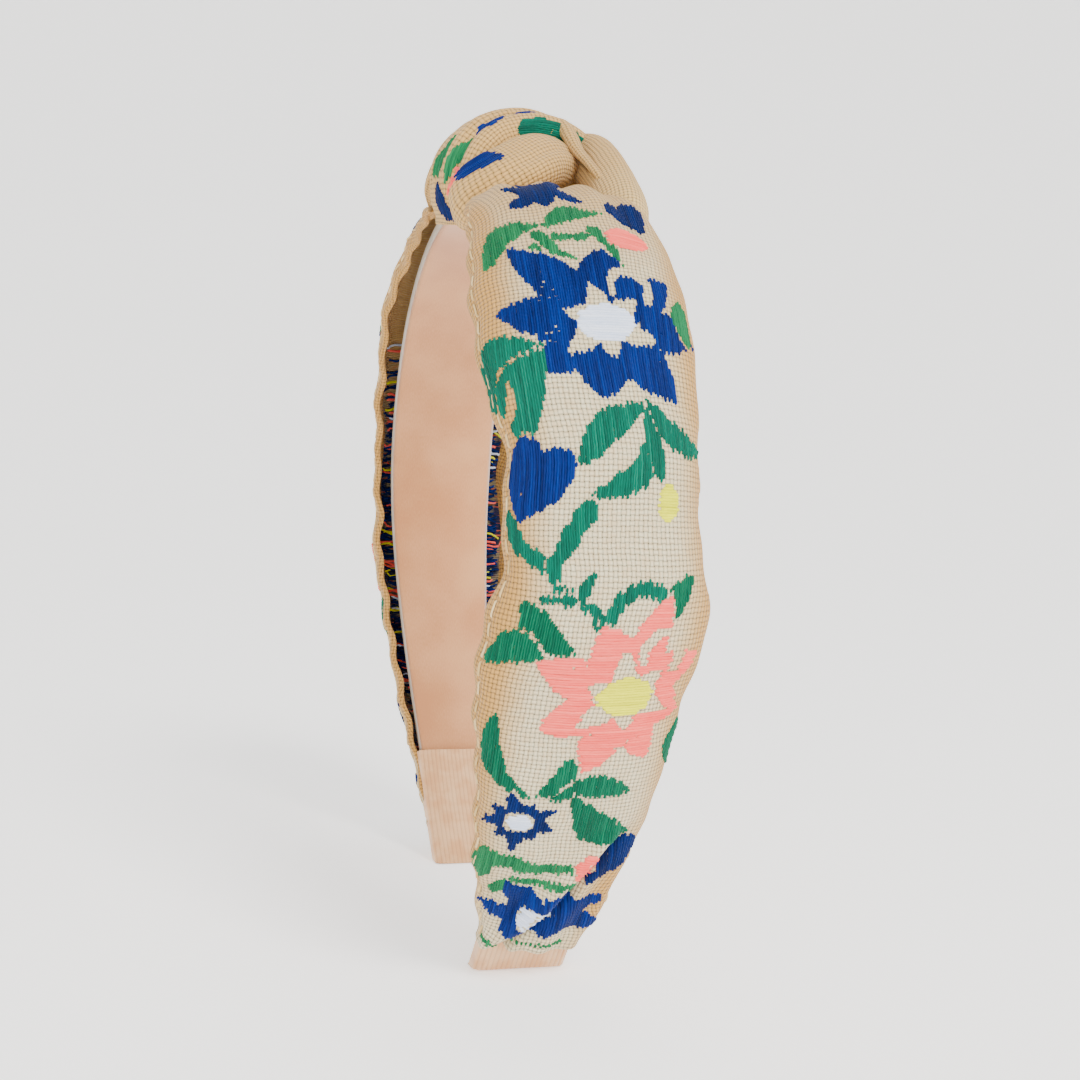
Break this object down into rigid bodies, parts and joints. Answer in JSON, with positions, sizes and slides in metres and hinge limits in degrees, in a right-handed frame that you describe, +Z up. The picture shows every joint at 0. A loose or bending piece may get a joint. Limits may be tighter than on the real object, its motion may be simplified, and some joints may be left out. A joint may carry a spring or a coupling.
{
  "type": "knotted headband",
  "caption": "Springy horseshoe hair band with a wide embroidered cloth cover knotted over the crown, a soft lining and ribbon tips.",
  "frame": {"origin": "on the surface that the two tips stand on, midway between them, below the knot", "axes": "+X from one tip to the other (ear to ear), +Y to the back of the head across the band's width, +Z up to the knot"},
  "size_m": [0.1458, 0.0406, 0.1589],
  "materials": {
    "band_plastic": "satin moulded plastic",
    "lining_satin": "soft beige satin",
    "foam": "open-cell foam",
    "cover_cloth": "plain-weave ecru linen with coloured thread floats",
    "tip_ribbon": "ribbed ribbon",
    "hem_thread": "cotton sewing thread"
  },
  "bodies": {
    "root": {"core_band": "band_plastic", "lining_strip": "lining_satin", "foam_strip_right": "foam", "foam_strip_left": "foam", "cover_leg_right": "cover_cloth", "cover_leg_left": "cover_cloth", "knot_loop": "cover_cloth", "knot_pass": "cover_cloth", "knot_fold_right": "cover_cloth", "knot_fold_left": "cover_cloth", "tip_cup_right": "tip_ribbon", "tip_cup_left": "tip_ribbon", "hem_thread_right_front": "hem_thread", "hem_thread_right_rear": "hem_thread", "hem_thread_left_front": "hem_thread", "hem_thread_left_rear": "hem_thread"}
  },
  "joints": []
}
